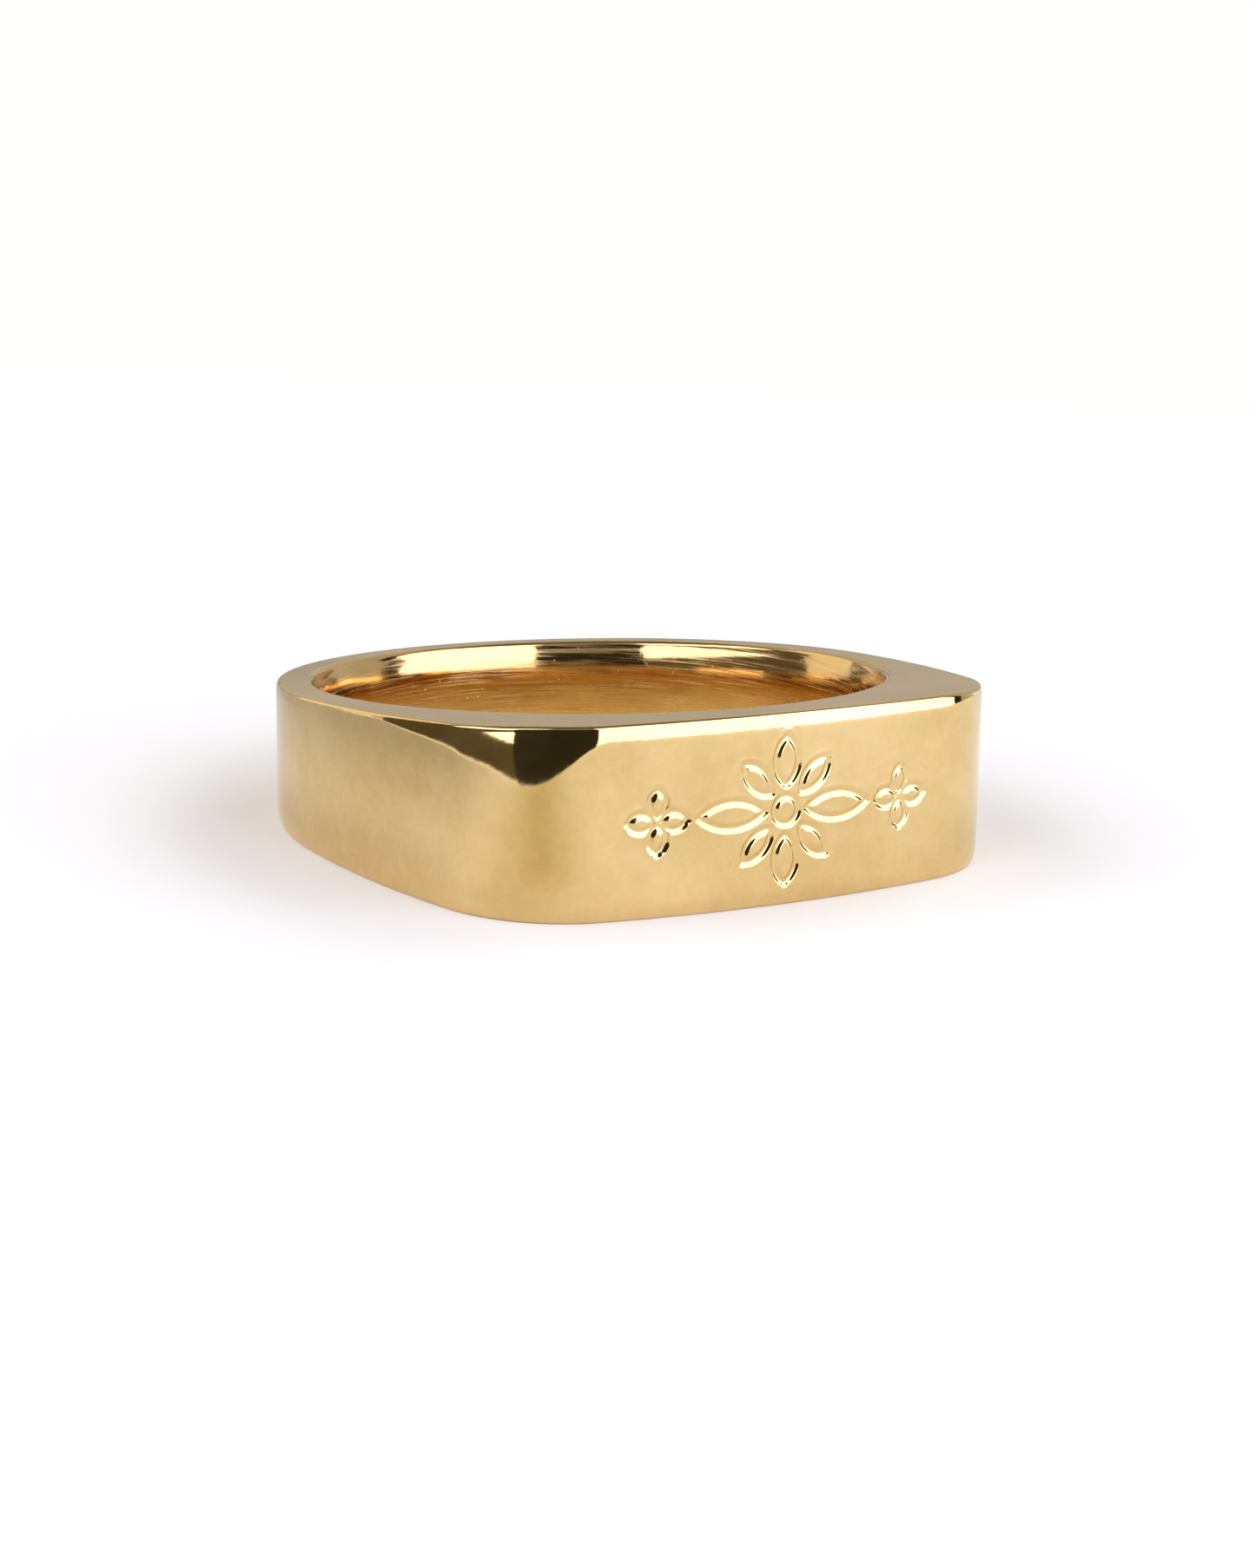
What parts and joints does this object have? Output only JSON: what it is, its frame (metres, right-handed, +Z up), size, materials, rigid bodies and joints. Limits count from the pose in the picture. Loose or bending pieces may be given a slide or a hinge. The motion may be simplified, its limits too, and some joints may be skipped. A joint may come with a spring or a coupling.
{
  "type": "signet ring",
  "caption": "Gold finger ring with a broad, gently domed rectangular face, an engraved flower ornament, a tapering shank and a rounded bore.",
  "frame": {"origin": "middle of the finger bore, on the ring's mid-plane", "axes": "+Z is up, square to the flat side that the ring lies on; the engraved face looks along -Y; the bore's axis leans 2.5 degrees from +Z toward +Y, which is the taper of the ring's height"},
  "size_m": [0.0214, 0.0221, 0.0059],
  "materials": {
    "head_gold": "polished",
    "shank_gold": "polished",
    "gold_solder": "polished"
  },
  "bodies": {
    "root": {"signet_head": "head_gold", "shank": "shank_gold", "solder_seam_left": "gold_solder", "solder_seam_right": "gold_solder"}
  },
  "joints": []
}
